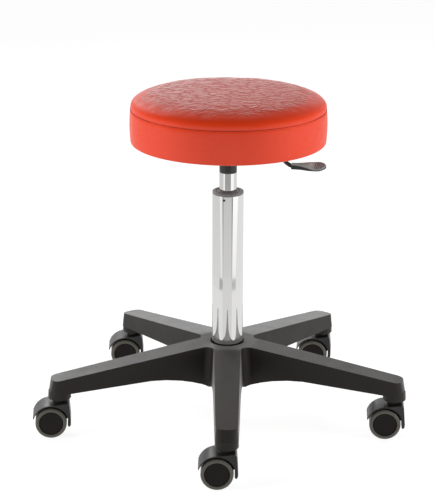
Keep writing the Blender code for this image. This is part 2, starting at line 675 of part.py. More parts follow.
def grip_sections():
    """(distance, half width, half thickness, share of the tilt) along the paddle, neck to tip."""
    tip_centre = GRIP_END - GRIP_BROAD
    sections = []
    for i in range(6):
        t = i / 5
        ease = t * t * (3.0 - 2.0 * t)
        thinning = max(0.0, t - 0.6) / 0.4
        sections.append((GRIP_START + (tip_centre - GRIP_START) * t,
                         GRIP_NECK + (GRIP_BROAD - GRIP_NECK) * ease,
                         GRIP_THICK + (GRIP_THIN - GRIP_THICK) * thinning, ease))
    for angle in (25.0, 50.0, 70.0, 84.0):
        turn = math.radians(angle)
        depth = GRIP_TIP + (GRIP_THIN - GRIP_TIP) * math.cos(turn)
        sections.append((tip_centre + GRIP_BROAD * math.sin(turn), GRIP_BROAD * math.cos(turn), depth, 1.0))
    return sections


def make_grip(parts, cutters):
    """Flat paddle, broad, round and tilted at its tip, that narrows to a neck over the rod."""
    sides = 16
    bm = bmesh.new()
    rings = []
    for distance, half_width, half_thickness, tilted in grip_sections():
        ring = []
        squareness = 0.7 + 0.2 * tilted
        tilt = GRIP_TILT * tilted
        for j in range(sides):
            angle = math.tau * j / sides
            across = math.copysign(abs(math.cos(angle)) ** squareness, math.cos(angle)) * half_width
            height = math.copysign(abs(math.sin(angle)) ** squareness, math.sin(angle)) * half_thickness
            ring.append(bm.verts.new(along_lever(
                distance, grip_z(distance) + height * math.cos(tilt) - across * math.sin(tilt),
                across * math.cos(tilt) + height * math.sin(tilt))))
        rings.append(ring)
    for near, far in zip(rings, rings[1:]):
        for j in range(sides):
            k = (j + 1) % sides
            bm.faces.new((near[j], near[k], far[k], far[j]))
    bm.faces.new(reversed(rings[0]))
    bm.faces.new(rings[-1])
    bmesh.ops.recalc_face_normals(bm, faces=bm.faces)
    grip = mesh_object("lever_grip", bm, parts)
    boolean(grip, lever_tube("grip_core", LEVER_RADIUS + GAP, GAP, cutters), "DIFFERENCE", cutters)
    return bake(grip)


def make_seat_plate(parts, cutters):
    """Pressed plate under the board, with the taper socket and two ears for the lever's pin."""
    under = PLATE_TOP - PLATE_THICKNESS
    bm = bmesh.new()
    bmesh.ops.create_cube(bm, size=1.0)
    bmesh.ops.scale(bm, vec=(2 * PLATE_HALF, 2 * PLATE_HALF, PLATE_THICKNESS), verts=bm.verts)
    bmesh.ops.translate(bm, vec=(0, 0, PLATE_TOP - PLATE_THICKNESS / 2), verts=bm.verts)
    upright = [edge for edge in bm.edges if abs(edge.verts[0].co.z - edge.verts[1].co.z) > 0.001]
    bmesh.ops.bevel(bm, geom=upright, offset=PLATE_CORNER, segments=4, affect="EDGES", profile=0.5)
    plate = mesh_object("seat_plate", bm, parts)
    socket_inner = TAPER_RADIUS + GAP
    socket = turned(
        "taper_socket",
        [(socket_inner, under + 0.001), (SOCKET_TOP_RADIUS, under + 0.001),
         (SOCKET_TOP_RADIUS, under - 0.001), (SOCKET_MOUTH_RADIUS + 0.0015, under - 0.005),
         (SOCKET_MOUTH_RADIUS, SLEEVE_TOP + GAP), (socket_inner, SLEEVE_TOP + GAP)], 32, cutters)
    boolean(plate, socket, "UNION", cutters)
    ear_inner = BARREL_HALF_LENGTH + GAP
    for low_y in (-ear_inner - EAR_THICKNESS, ear_inner):
        ear = block("lever_ear", (LEVER_PIVOT - 0.0090, low_y, LEVER_Z - 0.0070),
                    (LEVER_PIVOT + 0.0100, low_y + EAR_THICKNESS, under + 0.001), cutters)
        ear.rotation_euler.z = LEVER_DIRECTION
        boolean(plate, ear, "UNION", cutters)
    slot = block("lever_slot", (-0.0300, -SLOT_HALF_WIDTH, CYLINDER_TOP + 0.0005),
                 (0.0300, SLOT_HALF_WIDTH, under - GAP), cutters)
    slot.rotation_euler.z = LEVER_DIRECTION
    boolean(plate, slot, "DIFFERENCE", cutters)
    pin_hole = across_cylinder("ear_hole", PIVOT_RADIUS + GAP, 0.0120, LEVER_PIVOT, LEVER_Z, cutters)
    boolean(plate, pin_hole, "DIFFERENCE", cutters)
    for x, y in bolt_places():
        hole = cylinder("plate_hole", BOLT_RADIUS + GAP, (x, y, under - 0.002),
                        (x, y, PLATE_TOP + 0.002), cutters)
        boolean(plate, hole, "DIFFERENCE", cutters)
    return bake(plate)


# ---------------------------------------------------------------- seat
def bolt_places():
    return [(x, y) for x in (-BOLT_OFFSET, BOLT_OFFSET) for y in (-BOLT_OFFSET, BOLT_OFFSET)]


def cushion_profile(inset, crown_steps=7, side_steps=3):
    """Half section of the cushion from its crown to its bottom corner."""
    rim, height = SEAM_RADIUS - inset, SEAT_TOP - SEAM_Z - inset
    points = []
    for i in range(crown_steps + 1):
        turn = math.pi / 2 * i / crown_steps
        flat = 2.0 / RIM_POWER
        points.append((rim * math.sin(turn) ** flat, SEAM_Z + height * max(0.0, math.cos(turn)) ** flat))
    corner = BOTTOM_CORNER - inset / 2
    low = SEAT_BOTTOM + inset
    for i in range(1, side_steps + 1):
        t = i / side_steps
        bulge = (SEAT_RADIUS - SEAM_RADIUS) * math.sin(math.pi * t)
        points.append((rim + bulge, SEAM_Z + (low + corner - SEAM_Z) * t))
    return points + [(rim - corner * 0.3, low + corner * 0.3), (rim - corner, low)]


def make_seat(parts, cutters):
    outer, inner = cushion_profile(0.0), cushion_profile(COVER_THICKNESS, 5, 2)
    cover = turned(
        "seat_cover",
        outer + [(LIP_RADIUS, SEAT_BOTTOM), (LIP_RADIUS, SEAT_BOTTOM + COVER_THICKNESS)] + inner[::-1],
        44, parts, on_axis=True)
    board_low = SEAT_BOTTOM + COVER_THICKNESS + GAP
    board_high = board_low + BOARD_THICKNESS
    board = turned(
        "seat_board",
        rod_profile((BOARD_RADIUS - BOARD_EDGE, board_high), (BOARD_RADIUS, board_high - BOARD_EDGE),
                    (BOARD_RADIUS, board_low + BOARD_EDGE), (BOARD_RADIUS - BOARD_EDGE, board_low)),
        40, parts, on_axis=True)
    for x, y in bolt_places():
        hole = cylinder("board_hole", BOLT_RADIUS + GAP, (x, y, board_low - 0.002),
                        (x, y, BOLT_END + 2 * GAP), cutters)
        boolean(board, hole, "DIFFERENCE", cutters)
    bake(board)
    skin = cushion_profile(COVER_THICKNESS + FOAM_GAP, 5, 2)
    foam_low = board_high + GAP
    side = [point for point in skin if point[1] > foam_low]
    foam = turned("seat_foam", side + [(side[-1][0], foam_low), (0.0, foam_low)], 32, parts, on_axis=True)
    pieces = {"seat_cover": cover, "seat_board": board, "seat_foam": foam}
    under = PLATE_TOP - PLATE_THICKNESS
    for index, (x, y) in enumerate(bolt_places(), start=1):
        bolt = turned(
            f"plate_bolt_{index}",
            rod_profile((BOLT_RADIUS, BOLT_END), (BOLT_RADIUS, under - GAP), (BOLT_HEAD_RADIUS, under - GAP),
                        (BOLT_HEAD_RADIUS - 0.0005, under - 0.0030),
                        (BOLT_HEAD_RADIUS - 0.0020, under - 0.0038)), 12, parts, on_axis=True)
        bolt.location = (x, y, 0.0)
        pieces[bolt.name] = bolt
    return pieces


# ---------------------------------------------------------------- assembly
FINISH_OF = {
    "star_base": "nylon", "outer_column": "chrome", "column_collar": "collar", "guide_bush": "collar",
    "gas_cylinder": "chrome", "taper_sleeve": "painted", "rod_gland": "rubber", "valve_block": "steel",
    "release_pin": "steel", "piston_rod": "steel", "piston": "bronze", "thrust_bearing": "bronze",
    "bump_stop": "rubber", "rod_clip": "steel", "lever_rod": "painted", "lever_grip": "grip",
    "lever_pivot_pin": "steel", "seat_plate": "painted", "seat_board": "plywood", "seat_foam": "foam",
    "seat_cover": "leatherette", "hood": "hood", "wheel": "wheel", "tread": "tread", "stem": "steel",
    "axle": "steel",
}


def centre_on_footprint(parts):
    """Move everything sideways so that the origin is the middle of the footprint."""
    bpy.context.view_layer.update()
    corners = [obj.matrix_world @ vert.co for obj in parts.objects if obj.type == "MESH"
               for vert in obj.data.vertices]
    middle_x = (min(c.x for c in corners) + max(c.x for c in corners)) / 2
    middle_y = (min(c.y for c in corners) + max(c.y for c in corners)) / 2
    for obj in parts.objects:
        if obj.parent is None:
            obj.location.x -= middle_x
            obj.location.y -= middle_y


def main():
    start_empty()
    parts = new_collection("dentist_stool")
    cutters = new_collection("cutters")
    materials = {name: new_material(name) for name in FINISHES}
    pieces = {"star_base": make_star_base(parts, cutters), "outer_column": make_outer_column(parts, cutters)}
    pieces.update(make_gas_lift(parts))
    pieces.update(make_lever(parts, cutters))
    pieces["seat_plate"] = make_seat_plate(parts, cutters)
    pieces.update(make_seat(parts, cutters))
    castor = make_castor_meshes(parts, cutters)
    for name, piece in {**pieces, **castor}.items():
        finish(piece, materials[FINISH_OF.get(name, "steel")])
    for index, (name, turn) in enumerate(CASTOR_TURNS.items()):
        make_castor(name, index, turn, castor, parts)
    for source in castor.values():
        bpy.data.objects.remove(source)
    centre_on_footprint(parts)


main()
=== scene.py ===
"""Looks for the dentist stool: fine pieces, materials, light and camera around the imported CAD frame.

Everything is in metres in the frame's own axes: +Z up, the camera on the -Y side.
"""
import json
import math

import bmesh
import bpy
from mathutils import Matrix, Vector, kdtree


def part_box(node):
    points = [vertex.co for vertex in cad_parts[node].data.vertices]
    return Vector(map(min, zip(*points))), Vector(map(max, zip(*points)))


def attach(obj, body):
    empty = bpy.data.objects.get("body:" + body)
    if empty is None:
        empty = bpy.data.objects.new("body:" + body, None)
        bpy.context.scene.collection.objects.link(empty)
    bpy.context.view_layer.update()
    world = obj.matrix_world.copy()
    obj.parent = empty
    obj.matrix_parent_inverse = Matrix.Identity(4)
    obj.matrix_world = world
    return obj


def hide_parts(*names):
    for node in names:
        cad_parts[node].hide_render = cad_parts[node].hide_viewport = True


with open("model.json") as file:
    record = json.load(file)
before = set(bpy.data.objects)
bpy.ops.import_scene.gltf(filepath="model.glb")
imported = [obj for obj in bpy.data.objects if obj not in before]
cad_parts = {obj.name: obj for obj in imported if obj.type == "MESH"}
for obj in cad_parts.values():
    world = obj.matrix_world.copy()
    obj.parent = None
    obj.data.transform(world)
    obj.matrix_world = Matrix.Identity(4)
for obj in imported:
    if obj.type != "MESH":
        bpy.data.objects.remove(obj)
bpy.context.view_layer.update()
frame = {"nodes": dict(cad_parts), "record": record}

NODES = frame["nodes"]
CASTORS = ("front", "right", "rear_right", "rear_left", "left")
SIDES = ("a", "b")
MM = 0.001


# ---------------------------------------------------------------- places, read from the frame
def middle(node):
    low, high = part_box(node)
    return (low + high) / 2


COLUMN_AXIS = Vector((middle("outer_column").x, middle("outer_column").y, 0.0))


# ---------------------------------------------------------------- camera, light and floor
CAMERA_TARGET_Z = 0.24675
CAMERA_DISTANCE = 2.990
CAMERA_ELEVATION = math.radians(18.21)
CAMERA_ROLL = 0.0053
CAMERA_LENS = 133.64        # mm, on a 36 mm sensor
CAMERA_SHIFT = (-0.0213, 0.0417)
WORLD_FRONT = 0.41
WORLD_BACK = 1.08
WORLD_CEILING = 0.20        # share of the light left overhead
KEY_ANGLE = 75.0            # degrees to each side of the camera
KEY_HEIGHT, KEY_DISTANCE = 0.75, 2.8
KEY_SIZE = (1.2, 1.3)
KEY_LEFT, KEY_RIGHT = 51.0, 52.0        # watts
BACK_ANGLE = -152.0         # behind the stool, to the left
BACK_HEIGHT, BACK_DISTANCE = 1.65, 2.2
BACK_SIZE = (0.6, 0.6)
BACK_POWER = 19.0
LIGHT_AIM_Z = 0.35
FLOOR_GLOW = 0.85
FLOOR_COLOUR = 0.30
FLOOR_BOUNCE = 0.70


def make_camera():
    data = bpy.data.cameras.new("camera")
    data.lens = CAMERA_LENS
    data.sensor_width = 36.0
    data.shift_x, data.shift_y = CAMERA_SHIFT
    camera = bpy.data.objects.new("camera", data)
    bpy.context.scene.collection.objects.link(camera)
    back = Vector((0.0, -math.cos(CAMERA_ELEVATION), math.sin(CAMERA_ELEVATION)))
    camera.location = COLUMN_AXIS + Vector((0, 0, CAMERA_TARGET_Z)) + back * CAMERA_DISTANCE
    look = (-back).to_track_quat("-Z", "Y").to_matrix().to_4x4()
    camera.rotation_euler = (look @ Matrix.Rotation(CAMERA_ROLL, 4, "Z")).to_euler()
    bpy.context.scene.camera = camera


def soft_light(name, angle, height, distance, size, power, mirrored=False):
    """Area light aimed at the stool, its angle in degrees from the camera's side.

    Glossy surfaces show the lamp itself only if it is mirrored.
    """
    data = bpy.data.lights.new(name, "AREA")
    data.shape = "RECTANGLE"
    data.size, data.size_y = size
    data.energy = power
    light = bpy.data.objects.new(name, data)
    bpy.context.scene.collection.objects.link(light)
    turn = math.radians(angle)
    light.location = COLUMN_AXIS + Vector((math.sin(turn) * distance, -math.cos(turn) * distance, height))
    aim = COLUMN_AXIS + Vector((0, 0, LIGHT_AIM_Z))
    light.rotation_euler = (aim - light.location).to_track_quat("-Z", "Y").to_euler()
    light.visible_camera = False
    light.visible_glossy = mirrored


def set_range(node, low, high, start, end):
    """Make a Map Range node turn low to high into start to end."""
    for key, number in (("From Min", low), ("From Max", high), ("To Min", start), ("To Max", end)):
        node.inputs[key].default_value = number


def make_lights():
    """Soft boxes left, right and behind, in a room that is bright at the back, dim in front and overhead."""
    bpy.context.scene.view_settings.view_transform = "Standard"
    world = bpy.data.worlds.new("studio")
    bpy.context.scene.world = world
    world.use_nodes = True
    nodes, links = world.node_tree.nodes, world.node_tree.links
    background = nodes["Background"]
    background.inputs["Color"].default_value = (1.0, 1.0, 1.0, 1.0)
    way = nodes.new("ShaderNodeTexCoord")
    split = nodes.new("ShaderNodeSeparateXYZ")
    ramp = nodes.new("ShaderNodeMapRange")
    set_range(ramp, -0.6, 0.9, WORLD_FRONT, WORLD_BACK)
    ceiling = nodes.new("ShaderNodeMapRange")
    set_range(ceiling, 0.35, 0.95, 1.0, WORLD_CEILING)
    product = nodes.new("ShaderNodeMath")
    product.operation = "MULTIPLY"
    links.new(way.outputs["Generated"], split.inputs["Vector"])
    links.new(split.outputs["Y"], ramp.inputs["Value"])
    links.new(split.outputs["Z"], ceiling.inputs["Value"])
    links.new(ramp.outputs["Result"], product.inputs[0])
    links.new(ceiling.outputs["Result"], product.inputs[1])
    links.new(product.outputs["Value"], background.inputs["Strength"])
    soft_light("key_left", -KEY_ANGLE, KEY_HEIGHT, KEY_DISTANCE, KEY_SIZE, KEY_LEFT)
    soft_light("key_right", KEY_ANGLE, KEY_HEIGHT, KEY_DISTANCE, KEY_SIZE, KEY_RIGHT)
    soft_light("back_left", BACK_ANGLE, BACK_HEIGHT, BACK_DISTANCE, BACK_SIZE, BACK_POWER, True)


def seen_only_by(obj, *rays):
    for kind in ("camera", "diffuse", "glossy", "transmission", "shadow", "volume_scatter"):
        setattr(obj, f"visible_{kind}", kind in rays)


def glow_material(name, strength):
    recipe = Recipe(name, (0.0, 0.0, 0.0), 1.0)
    recipe.socket("Specular IOR Level", 0.0)
    recipe.socket("Emission Color", (1.0, 1.0, 1.0, 1.0))
    recipe.socket("Emission Strength", strength)
    return recipe


def make_floor():
    """White floor for the camera, one under it for the light that it throws back, and a backdrop."""
    for name, z in (("studio_floor", 0.0), ("studio_floor_bounce", -0.002)):
        bpy.ops.mesh.primitive_grid_add(x_subdivisions=2, y_subdivisions=2, size=80.0, location=(0, 0, z))
        bpy.context.object.name = name
    seen = bpy.data.objects["studio_floor"]
    recipe = glow_material("studio_floor", FLOOR_GLOW)
    recipe.socket("Base Color", (FLOOR_COLOUR, FLOOR_COLOUR, FLOOR_COLOUR, 1.0))
    seen.data.materials.append(recipe.material)
    seen_only_by(seen, "camera")
    bounce = bpy.data.objects["studio_floor_bounce"]
    bounce.data.materials.append(glow_material("studio_floor_bounce", FLOOR_BOUNCE).material)
    seen_only_by(bounce, "diffuse", "glossy")
    bm = bmesh.new()
    bmesh.ops.create_cone(bm, cap_ends=False, segments=64, radius1=35.0, radius2=35.0, depth=40.0)
    backdrop = new_piece("studio_backdrop", bm)
    backdrop.data.materials.append(glow_material("studio_backdrop", 1.0).material)
    seen_only_by(backdrop, "camera")


def reflection_card(name, near_angles, far_angles, radii, near, far):
    """A grey sector on the floor, seen only in reflections; angles from the camera's side, in degrees."""
    bm = bmesh.new()
    steps, rings = 16, 10
    rows = []
    for ring in range(rings + 1):
        share = ring / rings
        radius = radii[0] + (radii[1] - radii[0]) * share
        low, high = (a + (b - a) * share for a, b in zip(near_angles, far_angles))
        row = []
        for i in range(steps + 1):
            angle = math.radians(low + (high - low) * i / steps)
            place = Vector((math.sin(angle), -math.cos(angle), 0.0)) * radius
            row.append(bm.verts.new(place))
        rows.append(row)
    for inner, outer in zip(rows, rows[1:]):
        for i in range(steps):
            bm.faces.new((inner[i], outer[i], outer[i + 1], inner[i + 1]))
    card = new_piece(name, bm)
    card.location = COLUMN_AXIS + Vector((0, 0, 0.002))
    recipe = glow_material(name, near)
    length = recipe.nodes.new("ShaderNodeVectorMath")
    length.operation = "LENGTH"
    recipe.links.new(recipe.coords, length.inputs[0])
    recipe.drive("Emission Strength", recipe.ramp(length.outputs["Value"], *radii, near, far))
    card.data.materials.append(recipe.material)
    seen_only_by(card, "glossy")


def make_reflection_cards():
    """Cards that give polished tubes their bright flanks, dark middle and thin dark lines."""
    # Rings of floor, in metres from the axis. The camera sees the lower column mirror the first two,
    # the upper column the third, and the lift's cylinder the last.
    close, mark, reach, beyond = (0.30, 0.67), (0.67, 0.74), (0.74, 1.355), (1.355, 4.0)
    for name, near_angles, far_angles, near, far, distant in (
            ("card_middle", (-33.0, 28.0), (-33.0, 28.0), 0.66, 0.60, 0.36),
            ("card_line_left", (-37.0, -33.0), (-41.5, -33.0), 0.50, 0.20, 0.34),
            ("card_line_right", (28.0, 33.0), (28.0, 36.0), 0.50, 0.18, 0.34),
            ("card_white_left", (-52.0, -37.0), (-62.0, -41.5), 0.85, 0.90, 0.98),
            ("card_white_right", (33.0, 62.0), (36.0, 80.0), 0.95, 1.10, 1.05),
            ("card_flank_left", (-180.0, -52.0), (-180.0, -62.0), 0.72, 0.68, 0.64),
            ("card_flank_right", (62.0, 180.0), (80.0, 180.0), 0.80, 0.80, 0.74)):
        reflection_card(name, near_angles, far_angles, reach, near, far)
        reflection_card(name + "_far", far_angles, far_angles, beyond, distant, distant)
    for name, angles, radii, strength in (
            ("card_near_middle", (-36.0, 31.0), (close[0], mark[1]), 0.70),
            ("card_near_left", (-180.0, -36.0), close, 0.79),
            ("card_near_right", (31.0, 180.0), close, 0.82),
            ("card_mark_left", (-62.0, -36.0), mark, 0.42),
            ("card_mark_right", (31.0, 62.0), mark, 0.52),
            ("card_rest_left", (-180.0, -62.0), mark, 0.74),
            ("card_rest_right", (62.0, 180.0), mark, 0.81)):
        reflection_card(name, angles, angles, radii, strength, strength)


# ---------------------------------------------------------------- meshes
def new_piece(name, bm, smooth_angle=35.0):
    mesh = bpy.data.meshes.new(name)
    bmesh.ops.recalc_face_normals(bm, faces=bm.faces)
    bm.to_mesh(mesh)
    bm.free()
    obj = bpy.data.objects.new(name, mesh)
    bpy.context.scene.collection.objects.link(obj)
    mesh.shade_smooth()
    mesh.set_sharp_from_angle(angle=math.radians(smooth_angle))
    return obj


def applied(obj):
    """The object with its modifiers turned into its own mesh."""
    bpy.context.view_layer.update()
    graph = bpy.context.evaluated_depsgraph_get()
    mesh = bpy.data.meshes.new_from_object(obj.evaluated_get(graph))
    obj.modifiers.clear()
    obj.data = mesh
    return obj


FLAT_ANGLE = math.radians(1.0)      # faces closer than this in angle are merged
HARD_ANGLE = math.radians(28.0)     # edges sharper than this are rounded


def refined(node, name, width):
    """A piece with a CAD node's shape and rounded edges."""
    bm = bmesh.new()
    bm.from_mesh(NODES[node].data)
    bm.transform(NODES[node].matrix_world)
    bmesh.ops.remove_doubles(bm, verts=bm.verts, dist=0.00002)
    bmesh.ops.dissolve_limit(bm, angle_limit=FLAT_ANGLE, verts=bm.verts, edges=bm.edges)
    hard = [edge for edge in bm.edges
            if len(edge.link_faces) == 2 and edge.calc_face_angle(0.0) > HARD_ANGLE]
    bmesh.ops.bevel(
        bm, geom=hard, offset=width, offset_type="OFFSET", segments=3, profile=0.5,
        affect="EDGES", clamp_overlap=True, miter_outer="ARC")
    piece = new_piece(name, bm, 50.0)
    piece.modifiers.new("weighted_normals", "WEIGHTED_NORMAL").keep_sharp = True
    return applied(piece)


def softened(points):
    """A closed profile of (radius, height, rounding) points with its corners rounded."""
    steps = 4
    result = []
    for i, (r, z, rounding) in enumerate(points):
        if not rounding:
            result.append((r, z))
            continue
        corner = Vector((r, z))
        before, after = Vector(points[i - 1][:2]), Vector(points[(i + 1) % len(points)][:2])
        start = corner + (before - corner).normalized() * rounding
        end = corner + (after - corner).normalized() * rounding
        for step in range(steps + 1):
            t = step / steps
            point = start * (1 - t) ** 2 + corner * 2 * t * (1 - t) + end * t ** 2
            result.append((point.x, point.y))
    return result


def spun(profile, steps):
    """Mesh of a closed (radius, height) profile turned about Z."""
    bm = bmesh.new()
    rings = []
    for r, z in profile:
        if r < 1e-6:
            rings.append([bm.verts.new((0.0, 0.0, z))] * steps)
        else:
            turns = [math.tau * j / steps for j in range(steps)]
            rings.append([bm.verts.new((r * math.cos(turn), r * math.sin(turn), z)) for turn in turns])
    for ring, after in zip(rings, rings[1:] + rings[:1]):
        for j in range(steps):
            k = (j + 1) % steps
            corners = list(dict.fromkeys((ring[j], ring[k], after[k], after[j])))
            if len(corners) > 2:
                bm.faces.new(corners)
    return bm


def turned_piece(name, profile, steps=96):
    """A turned piece on the column's axis."""
    bm = spun(profile, steps)
    bm.transform(Matrix.Translation(COLUMN_AXIS))
    return new_piece(name, bm, 40.0)


def join_rings(bm, rings, closed=False):
    """Skin rings of points into a capped tube, or into a closed loop."""
    for near, far in zip(rings, rings[1:] + (rings[:1] if closed else [])):
        for j in range(len(near)):
            k = (j + 1) % len(near)
            bm.faces.new((near[j], near[k], far[k], far[j]))
    if not closed:
        bm.faces.new(rings[0])
        bm.faces.new(rings[-1])


def round_bar(name, radius, length, place, segments):
    """Solid cylinder along its own Z, put in its place by a matrix."""
    bm = bmesh.new()
    bmesh.ops.create_cone(
        bm, cap_ends=True, segments=segments, radius1=radius, radius2=radius, depth=length)
    bm.transform(place)
    return new_piece(name, bm)


def carve(piece, *changes):
    """Join or cut a piece with (tool, operation) pairs; the tools are used up."""
    for tool, operation in changes:
        change = piece.modifiers.new(tool.name, "BOOLEAN")
        change.operation, change.object, change.solver = operation, tool, "EXACT"
    applied(piece)
    for tool, _ in changes:
        bpy.data.objects.remove(tool)
    piece.data.set_sharp_from_angle(angle=math.radians(40.0))


# ---------------------------------------------------------------- materials
class Recipe:
    """A Principled material whose pattern is built from object coordinates, in metres."""

    def __init__(self, name, colour, roughness, metallic=0.0):
        self.material = bpy.data.materials.new(name)
        self.material.use_nodes = True
        self.nodes = self.material.node_tree.nodes
        self.links = self.material.node_tree.links
        self.shader = self.nodes["Principled BSDF"]
        self.socket("Base Color", (*colour, 1.0))
        self.socket("Roughness", roughness)
        self.socket("Metallic", metallic)
        self.coords = self.nodes.new("ShaderNodeTexCoord").outputs["Object"]

    def socket(self, name, value):
        self.shader.inputs[name].default_value = value

    def stretched(self, stretch):
        mapping = self.nodes.new("ShaderNodeMapping")
        mapping.inputs["Scale"].default_value = stretch
        self.links.new(self.coords, mapping.inputs["Vector"])
        return mapping.outputs["Vector"]

    def noise(self, size, detail=3.0, stretch=(1, 1, 1), distortion=0.0):
        """Cloudy pattern whose blotches are about size metres across."""
        node = self.nodes.new("ShaderNodeTexNoise")
        node.inputs["Scale"].default_value = 1.0 / size
        node.inputs["Detail"].default_value = detail
        node.inputs["Distortion"].default_value = distortion
        self.links.new(self.stretched(stretch), node.inputs["Vector"])
        return node.outputs["Fac"]

    def cells(self, size, feature="F1", stretch=(1, 1, 1), wander=0.0):
        """Pebbled pattern of cells about size metres across; wander bends their edges."""
        node = self.nodes.new("ShaderNodeTexVoronoi")
        node.feature = feature
        node.inputs["Scale"].default_value = 1.0 / size
        place = self.stretched(stretch)
        if wander:
            bend = self.nodes.new("ShaderNodeTexNoise")
            bend.inputs["Scale"].default_value = 1.0 / size
            self.links.new(place, bend.inputs["Vector"])
            push = self.nodes.new("ShaderNodeVectorMath")
            push.operation = "MULTIPLY_ADD"
            push.inputs[1].default_value = (size * wander,) * 3
            self.links.new(bend.outputs["Color"], push.inputs[0])
            self.links.new(place, push.inputs[2])
            place = push.outputs["Vector"]
        self.links.new(place, node.inputs["Vector"])
        return node.outputs["Distance"]

    def ramp(self, value, low, high, start, end):
        """value from low to high, mapped to start and end."""
        node = self.nodes.new("ShaderNodeMapRange")
        set_range(node, low, high, start, end)
        self.links.new(value, node.inputs["Value"])
        return node.outputs["Result"]

    def sum(self, first, second, share):
        node = self.nodes.new("ShaderNodeMath")
        node.operation = "MULTIPLY_ADD"
        node.inputs[1].default_value = share
        self.links.new(second, node.inputs[0])
        self.links.new(first, node.inputs[2])
        return node.outputs["Value"]

    def times(self, first, second):
        node = self.nodes.new("ShaderNodeMath")
        node.operation = "MULTIPLY"
        self.links.new(first, node.inputs[0])
        self.links.new(second, node.inputs[1])
        return node.outputs["Value"]

    def facing_up(self, low, high):
        """0 on upright faces, 1 on level ones."""
        way = self.nodes.new("ShaderNodeNewGeometry")
        split = self.nodes.new("ShaderNodeSeparateXYZ")
        self.links.new(way.outputs["Normal"], split.inputs["Vector"])
        return self.ramp(split.outputs["Z"], low, high, 0.0, 1.0)

    def across(self, low, high, start, end):
        """start to end between two places along X."""
        split = self.nodes.new("ShaderNodeSeparateXYZ")
        self.links.new(self.coords, split.inputs["Vector"])
        return self.ramp(split.outputs["X"], low, high, start, end)

    def colours(self, value, *stops):
        """Base colour from a colour ramp: (position, colour) stops."""
        node = self.nodes.new("ShaderNodeValToRGB")
        elements = node.color_ramp.elements
        while len(elements) < len(stops):
            elements.new(0.5)
        for element, (position, colour) in zip(elements, stops):
            element.position = position
            element.color = (*colour, 1.0)
        self.links.new(value, node.inputs["Fac"])
        self.links.new(node.outputs["Color"], self.shader.inputs["Base Color"])

    def drive(self, socket, value):
        self.links.new(value, self.shader.inputs[socket])

    def bump(self, height, strength, depth):
        """Relief of the given depth in metres; a second call adds a finer one on top."""
        node = self.nodes.new("ShaderNodeBump")
        node.inputs["Strength"].default_value = strength
        node.inputs["Distance"].default_value = depth
        self.links.new(height, node.inputs["Height"])
        before = self.shader.inputs["Normal"].links
        if before:
            self.links.new(before[0].from_socket, node.inputs["Normal"])
        self.links.new(node.outputs["Normal"], self.shader.inputs["Normal"])


def shade(colour, amount):
    return tuple(channel * amount for channel in colour)


def leatherette():
    """Grained leatherette: fine pebbles all over, on the top a creased grain and a pale sheen.

    The top's sheen is painted sheen: it fades towards +X inside the material, in place of light from the
    left, so it turns with the seat.
    """
    red = (0.74, 0.042, 0.005)
    recipe = Recipe("leatherette", red, 0.46)
    # Painted reflection: upright faces are given stronger reflections than level ones, to brighten the
    # seat's sides.
    recipe.drive("Specular IOR Level", recipe.ramp(recipe.facing_up(0.05, 0.40), 0.0, 1.0, 0.56, 0.16))
    recipe.socket("Sheen Roughness", 0.32)
    top = recipe.facing_up(0.940, 0.991)
    # Painted shade: the top's base colour is darker than the sides', with a faint random mottle.
    recipe.colours(recipe.sum(top, recipe.noise(0.045, 4.0), 0.2), (0.05, red), (1.0, shade(red, 0.80)))
    edges = recipe.cells(11.0 * MM, "DISTANCE_TO_EDGE", (0.42, 1.0, 1.0), 1.2)
    grain = recipe.sum(recipe.ramp(edges, 0.0, 0.16, 0.0, 1.0),
                       recipe.noise(5.0 * MM, 4.0, (0.40, 1.0, 1.0), 0.8), 0.9)
    # Sheen from the top's grain, with a painted fade towards +X in place of light from the left.
    grain_and_painted_sheen = recipe.times(recipe.ramp(grain, 0.4, 1.5, -0.05, 0.50), recipe.across(-0.12, 0.15, 1.2, 0.25))
    # Painted sheen: level faces get up to 1.0 sheen weight, upright faces 0.30.
    recipe.drive("Sheen Weight", recipe.ramp(recipe.times(top, grain_and_painted_sheen), 0.0, 1.0, 0.30, 1.0))
    recipe.drive("Roughness", recipe.ramp(grain, 0.4, 1.5, 0.64, 0.52))
    recipe.bump(recipe.times(top, grain), 0.8, 0.95 * MM)
    recipe.bump(recipe.noise(9.0 * MM, 3.0), 0.3, 0.3 * MM)
    recipe.bump(recipe.cells(1.1 * MM, "DISTANCE_TO_EDGE"), 0.35, 0.12 * MM)
    return recipe.material


def chrome():
    recipe = Recipe("chrome", (0.90, 0.895, 0.885), 0.06, 1.0)
    recipe.drive("Roughness", recipe.ramp(recipe.noise(0.02, 5.0, (1, 1, 0.2)), 0.35, 0.75, 0.035, 0.075))
    return recipe.material


def moulded(name, colour, roughness, grain, depth, speckle=0.18, shine=0.5, haze=0.0):
    """Moulded plastic with a spark-eroded grain and a faint mottle; haze is its pale look at low angles."""
    recipe = Recipe(name, colour, roughness)
    recipe.socket("Specular IOR Level", shine)
    recipe.socket("Sheen Weight", haze)
    recipe.socket("Sheen Roughness", 0.3)
    recipe.colours(recipe.noise(grain * 2.0, 2.0), (0.30, shade(colour, 1.0 - speckle)),
                   (0.72, shade(colour, 1.0 + speckle)))
    wear = recipe.noise(0.03, 3.0)
    recipe.drive("Roughness", recipe.ramp(wear, 0.3, 0.7, roughness - 0.05, roughness + 0.06))
    recipe.bump(recipe.noise(grain, 2.0), 0.5, depth)
    return recipe.material


